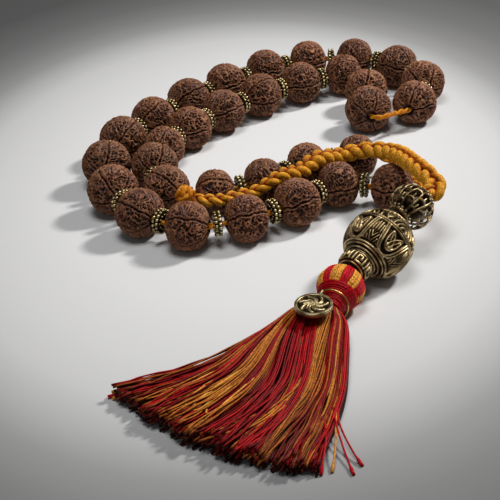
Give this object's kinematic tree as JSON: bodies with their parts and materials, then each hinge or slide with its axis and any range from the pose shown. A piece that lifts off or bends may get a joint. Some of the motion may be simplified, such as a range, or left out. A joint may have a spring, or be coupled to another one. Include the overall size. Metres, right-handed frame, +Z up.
{
  "type": "prayer bead mala",
  "caption": "Folded loop of wrinkled seed beads with brass spacers, and a braided cord ending in cast brass beads and a thread tassel.",
  "frame": {"origin": "middle of the outline, on the surface that the mala lies on", "axes": "+Z up from that surface, +Y from the tassel towards the far end of the loop, +X to the right of it"},
  "size_m": [0.1759, 0.3245, 0.0288],
  "materials": {
    "seed": "dry wrinkled seed, satin on the ridges",
    "spacer_brass": "antique cast brass with dark patina in the grooves",
    "cast_brass": "antique cast brass with dark patina in the relief",
    "ring_brass": "polished drawn wire",
    "charm_brass": "antique stamped brass",
    "string": "twisted cotton cord",
    "braid": "silky braided thread",
    "thread_red": "silky thread",
    "thread_gold": "silky thread in gold and red bunches"
  },
  "bodies": {
    "strand": {"bead_string": "string", "cord_knot": "braid", "braided_cord": "braid", "pendant_core_cord": "thread_red"},
    "seed_outer_01": {"rudraksha_outer_01": "seed"},
    "seed_outer_02": {"rudraksha_outer_02": "seed"},
    "seed_outer_03": {"rudraksha_outer_03": "seed"},
    "seed_outer_04": {"rudraksha_outer_04": "seed"},
    "seed_outer_05": {"rudraksha_outer_05": "seed"},
    "seed_outer_06": {"rudraksha_outer_06": "seed"},
    "seed_outer_07": {"rudraksha_outer_07": "seed"},
    "seed_outer_08": {"rudraksha_outer_08": "seed"},
    "seed_outer_09": {"rudraksha_outer_09": "seed"},
    "seed_outer_10": {"rudraksha_outer_10": "seed"},
    "seed_outer_11": {"rudraksha_outer_11": "seed"},
    "seed_outer_12": {"rudraksha_outer_12": "seed"},
    "seed_outer_13": {"rudraksha_outer_13": "seed"},
    "seed_outer_14": {"rudraksha_outer_14": "seed"},
    "seed_outer_15": {"rudraksha_outer_15": "seed"},
    "seed_outer_16": {"rudraksha_outer_16": "seed"},
    "seed_outer_17": {"rudraksha_outer_17": "seed"},
    "seed_outer_18": {"rudraksha_outer_18": "seed"},
    "seed_inner_01": {"rudraksha_inner_01": "seed"},
    "seed_inner_02": {"rudraksha_inner_02": "seed"},
    "seed_inner_03": {"rudraksha_inner_03": "seed"},
    "seed_inner_04": {"rudraksha_inner_04": "seed"},
    "seed_inner_05": {"rudraksha_inner_05": "seed"},
    "seed_inner_06": {"rudraksha_inner_06": "seed"},
    "seed_inner_07": {"rudraksha_inner_07": "seed"},
    "seed_inner_08": {"rudraksha_inner_08": "seed"},
    "seed_inner_09": {"rudraksha_inner_09": "seed"},
    "seed_inner_10": {"rudraksha_inner_10": "seed"},
    "seed_inner_11": {"rudraksha_inner_11": "seed"},
    "seed_inner_12": {"rudraksha_inner_12": "seed"},
    "seed_inner_13": {"rudraksha_inner_13": "seed"},
    "seed_inner_14": {"rudraksha_inner_14": "seed"},
    "spacer_01": {"spacer_ring_01": "spacer_brass"},
    "spacer_02": {"spacer_ring_02": "spacer_brass"},
    "spacer_03": {"spacer_ring_03": "spacer_brass"},
    "spacer_04": {"spacer_ring_04": "spacer_brass"},
    "spacer_05": {"spacer_ring_05": "spacer_brass"},
    "spacer_06": {"spacer_ring_06": "spacer_brass"},
    "spacer_07": {"spacer_ring_07": "spacer_brass"},
    "spacer_08": {"spacer_ring_08": "spacer_brass"},
    "spacer_09": {"spacer_ring_09": "spacer_brass"},
    "spacer_10": {"spacer_ring_10": "spacer_brass"},
    "spacer_11": {"spacer_ring_11": "spacer_brass"},
    "spacer_12": {"spacer_ring_12": "spacer_brass"},
    "spacer_13": {"spacer_ring_13": "spacer_brass"},
    "spacer_14": {"spacer_ring_14": "spacer_brass"},
    "spacer_15": {"spacer_ring_15": "spacer_brass"},
    "spacer_16": {"spacer_ring_16": "spacer_brass"},
    "lantern": {"lantern_bead": "cast_brass"},
    "guru": {"guru_bead": "cast_brass"},
    "barrel": {"barrel_bead": "cast_brass"},
    "tassel": {"tassel_head": "thread_red", "neck_wrap": "thread_red", "tassel_skirt": "thread_gold"},
    "neck_ring": {"neck_jump_ring": "ring_brass"},
    "charm": {"disc_charm": "charm_brass"}
  },
  "joints": [
    {"name": "turn_outer_01", "type": "hinge", "parent": "strand", "child": "seed_outer_01", "pos_m": [0.069, 0.088, 0.01], "axis": [0.4422, 0.8969, 0], "continuous": true},
    {"name": "turn_outer_02", "type": "hinge", "parent": "strand", "child": "seed_outer_02", "pos_m": [0.077, 0.1115, 0.01025], "axis": [-0.0319, 0.9995, 0], "continuous": true},
    {"name": "turn_outer_03", "type": "hinge", "parent": "strand", "child": "seed_outer_03", "pos_m": [0.0675, 0.135, 0.01025], "axis": [-0.6146, 0.7888, 0], "continuous": true},
    {"name": "turn_outer_04", "type": "hinge", "parent": "strand", "child": "seed_outer_04", "pos_m": [0.047, 0.15, 0.01], "axis": [-0.9389, 0.3443, 0], "continuous": true},
    {"name": "turn_outer_05", "type": "hinge", "parent": "strand", "child": "seed_outer_05", "pos_m": [0.0225, 0.1515, 0.01], "axis": [-0.9861, -0.1661, 0], "continuous": true},
    {"name": "turn_outer_06", "type": "hinge", "parent": "strand", "child": "seed_outer_06", "pos_m": [-0.0005, 0.142, 0.01025], "axis": [-0.8737, -0.4865, 0], "continuous": true},
    {"name": "turn_outer_07", "type": "hinge", "parent": "strand", "child": "seed_outer_07", "pos_m": [-0.0215, 0.127, 0.01025], "axis": [-0.7761, -0.6306, 0], "continuous": true},
    {"name": "turn_outer_08", "type": "hinge", "parent": "strand", "child": "seed_outer_08", "pos_m": [-0.0405, 0.1095, 0.0105], "axis": [-0.7022, -0.712, 0], "continuous": true},
    {"name": "turn_outer_09", "type": "hinge", "parent": "strand", "child": "seed_outer_09", "pos_m": [-0.0575, 0.0905, 0.01025], "axis": [-0.6016, -0.7988, 0], "continuous": true},
    {"name": "turn_outer_10", "type": "hinge", "parent": "strand", "child": "seed_outer_10", "pos_m": [-0.071, 0.069, 0.0105], "axis": [-0.3867, -0.9222, 0], "continuous": true},
    {"name": "turn_outer_11", "type": "hinge", "parent": "strand", "child": "seed_outer_11", "pos_m": [-0.077, 0.044, 0.0105], "axis": [-0.0297, -0.9996, 0], "continuous": true},
    {"name": "turn_outer_12", "type": "hinge", "parent": "strand", "child": "seed_outer_12", "pos_m": [-0.0725, 0.0185, 0.0105], "axis": [0.3401, -0.9404, 0], "continuous": true},
    {"name": "turn_outer_13", "type": "hinge", "parent": "strand", "child": "seed_outer_13", "pos_m": [-0.06, -0.003, 0.01], "axis": [0.6805, -0.7328, 0], "continuous": true},
    {"name": "turn_outer_14", "type": "hinge", "parent": "strand", "child": "seed_outer_14", "pos_m": [-0.04, -0.0165, 0.00975], "axis": [0.9727, -0.2321, 0], "continuous": true},
    {"name": "turn_outer_15", "type": "hinge", "parent": "strand", "child": "seed_outer_15", "pos_m": [-0.016, -0.0135, 0.0095], "axis": [0.9615, 0.2747, 0], "continuous": true},
    {"name": "turn_outer_16", "type": "hinge", "parent": "strand", "child": "seed_outer_16", "pos_m": [0.0055, -0.0035, 0.00975], "axis": [0.8575, 0.5145, 0], "continuous": true},
    {"name": "turn_outer_17", "type": "hinge", "parent": "strand", "child": "seed_outer_17", "pos_m": [0.024, 0.0105, 0.00925], "axis": [0.9833, 0.1821, 0], "continuous": true},
    {"name": "turn_outer_18", "type": "hinge", "parent": "strand", "child": "seed_outer_18", "pos_m": [0.046, 0.004, 0.0095], "axis": [0.9879, -0.1552, 0], "continuous": true},
    {"name": "turn_inner_01", "type": "hinge", "parent": "strand", "child": "seed_inner_01", "pos_m": [0.035, 0.0355, 0.00925], "axis": [-0.9993, -0.0379, 0], "continuous": true},
    {"name": "turn_inner_02", "type": "hinge", "parent": "strand", "child": "seed_inner_02", "pos_m": [0.0125, 0.0315, 0.00925], "axis": [-0.9307, -0.3657, 0], "continuous": true},
    {"name": "turn_inner_03", "type": "hinge", "parent": "strand", "child": "seed_inner_03", "pos_m": [-0.007, 0.019, 0.00925], "axis": [-0.9115, -0.4113, 0], "continuous": true},
    {"name": "turn_inner_04", "type": "hinge", "parent": "strand", "child": "seed_inner_04", "pos_m": [-0.0285, 0.013, 0.009], "axis": [-0.9994, -0.0353, 0], "continuous": true},
    {"name": "turn_inner_05", "type": "hinge", "parent": "strand", "child": "seed_inner_05", "pos_m": [-0.0495, 0.0175, 0.00975], "axis": [-0.7031, 0.711, 0], "continuous": true},
    {"name": "turn_inner_06", "type": "hinge", "parent": "strand", "child": "seed_inner_06", "pos_m": [-0.0552, 0.04, 0.01], "axis": [-0.0459, 0.9989, 0], "continuous": true},
    {"name": "turn_inner_07", "type": "hinge", "parent": "strand", "child": "seed_inner_07", "pos_m": [-0.0515, 0.061, 0.009], "axis": [0.3819, 0.9242, 0], "continuous": true},
    {"name": "turn_inner_08", "type": "hinge", "parent": "strand", "child": "seed_inner_08", "pos_m": [-0.0395, 0.078, 0.00975], "axis": [0.6413, 0.7673, 0], "continuous": true},
    {"name": "turn_inner_09", "type": "hinge", "parent": "strand", "child": "seed_inner_09", "pos_m": [-0.0235, 0.0945, 0.01], "axis": [0.738, 0.6748, 0], "continuous": true},
    {"name": "turn_inner_10", "type": "hinge", "parent": "strand", "child": "seed_inner_10", "pos_m": [-0.0045, 0.11, 0.01025], "axis": [0.8192, 0.5735, 0], "continuous": true},
    {"name": "turn_inner_11", "type": "hinge", "parent": "strand", "child": "seed_inner_11", "pos_m": [0.0165, 0.1225, 0.01], "axis": [0.9086, 0.4177, 0], "continuous": true},
    {"name": "turn_inner_12", "type": "hinge", "parent": "strand", "child": "seed_inner_12", "pos_m": [0.039, 0.13, 0.00975], "axis": [0.979, 0.204, 0], "continuous": true},
    {"name": "turn_inner_13", "type": "hinge", "parent": "strand", "child": "seed_inner_13", "pos_m": [0.048, 0.1075, 0.01], "axis": [-0.1799, -0.9837, 0], "continuous": true},
    {"name": "turn_inner_14", "type": "hinge", "parent": "strand", "child": "seed_inner_14", "pos_m": [0.046, 0.0835, 0.0105], "axis": [0.0416, -0.9991, 0], "continuous": true},
    {"name": "turn_spacer_01", "type": "hinge", "parent": "strand", "child": "spacer_01", "pos_m": [0.0745, 0.0994, 0.0101], "axis": [0.3222, 0.9466, 0.0101], "continuous": true},
    {"name": "turn_spacer_02", "type": "hinge", "parent": "strand", "child": "spacer_02", "pos_m": [0.0741, 0.1239, 0.01025], "axis": [-0.3748, 0.9271, 0], "continuous": true},
    {"name": "turn_spacer_03", "type": "hinge", "parent": "strand", "child": "spacer_03", "pos_m": [0.0582, 0.1439, 0.0101], "axis": [-0.807, 0.5905, -0.0098], "continuous": true},
    {"name": "turn_spacer_04", "type": "hinge", "parent": "strand", "child": "spacer_04", "pos_m": [0.0349, 0.1523, 0.01], "axis": [-0.9981, 0.0611, 0], "continuous": true},
    {"name": "turn_spacer_05", "type": "hinge", "parent": "strand", "child": "spacer_05", "pos_m": [0.0107, 0.1478, 0.0101], "axis": [-0.9242, -0.3817, 0.01], "continuous": true},
    {"name": "turn_spacer_06", "type": "hinge", "parent": "strand", "child": "spacer_06", "pos_m": [-0.0113, 0.135, 0.01025], "axis": [-0.8137, -0.5812, 0], "continuous": true},
    {"name": "turn_spacer_07", "type": "hinge", "parent": "strand", "child": "spacer_07", "pos_m": [-0.0312, 0.1186, 0.0104], "axis": [-0.7355, -0.6774, 0.0097], "continuous": true},
    {"name": "turn_spacer_08", "type": "hinge", "parent": "strand", "child": "spacer_08", "pos_m": [-0.0494, 0.1002, 0.0104], "axis": [-0.6668, -0.7452, -0.0098], "continuous": true},
    {"name": "turn_spacer_09", "type": "hinge", "parent": "strand", "child": "spacer_09", "pos_m": [-0.0649, 0.0802, 0.0104], "axis": [-0.5317, -0.8469, 0.0098], "continuous": true},
    {"name": "turn_spacer_10", "type": "hinge", "parent": "strand", "child": "spacer_10", "pos_m": [-0.0752, 0.0568, 0.0105], "axis": [-0.2334, -0.9724, 0], "continuous": true},
    {"name": "turn_spacer_11", "type": "hinge", "parent": "strand", "child": "spacer_11", "pos_m": [-0.076, 0.0311, 0.0105], "axis": [0.1738, -0.9848, 0], "continuous": true},
    {"name": "turn_spacer_12", "type": "hinge", "parent": "strand", "child": "spacer_12", "pos_m": [-0.0673, 0.007, 0.0103], "axis": [0.5025, -0.8643, -0.0201], "continuous": true},
    {"name": "turn_spacer_13", "type": "hinge", "parent": "strand", "child": "spacer_13", "pos_m": [-0.0508, -0.0113, 0.0099], "axis": [0.8288, -0.5594, -0.0104], "continuous": true},
    {"name": "turn_spacer_14", "type": "hinge", "parent": "strand", "child": "spacer_14", "pos_m": [-0.0279, -0.0165, 0.0096], "axis": [0.9922, 0.124, -0.0103], "continuous": true},
    {"name": "turn_spacer_15", "type": "hinge", "parent": "strand", "child": "spacer_15", "pos_m": [-0.005, -0.0092, 0.0096], "axis": [0.9067, 0.4217, 0.0105], "continuous": true},
    {"name": "turn_spacer_16", "type": "hinge", "parent": "strand", "child": "spacer_16", "pos_m": [0.0145, 0.0045, 0.0095], "axis": [0.7972, 0.6033, -0.0215], "continuous": true},
    {"name": "turn_lantern", "type": "hinge", "parent": "strand", "child": "lantern", "pos_m": [0.0481, -0.0329, 0.02], "axis": [0.7701, 0.6201, 0.15], "continuous": true},
    {"name": "turn_guru", "type": "hinge", "parent": "strand", "child": "guru", "pos_m": [0.0335, -0.0475, 0.0133], "axis": [0.6685, 0.7084, 0.2264], "continuous": true},
    {"name": "turn_barrel", "type": "hinge", "parent": "strand", "child": "barrel", "pos_m": [0.023, -0.0595, 0.0115], "axis": [0.61, 0.7763, 0.159], "continuous": true},
    {"name": "tassel_swing", "type": "hinge", "parent": "strand", "child": "tassel", "pos_m": [0.017, -0.0685, 0.009], "axis": [0, 0, 1], "range_deg": [-15, 15]},
    {"name": "ring_turn", "type": "hinge", "parent": "tassel", "child": "neck_ring", "pos_m": [0.0125, -0.0792, 0.0082], "axis": [-0.3902, -0.9104, 0.1376], "range_deg": [-5, 5]},
    {"name": "charm_flip", "type": "hinge", "parent": "neck_ring", "child": "charm", "pos_m": [0.0089, -0.08, 0.0132], "axis": [-0.8944, 0.4472, 0], "range_deg": [0, 60]}
  ]
}
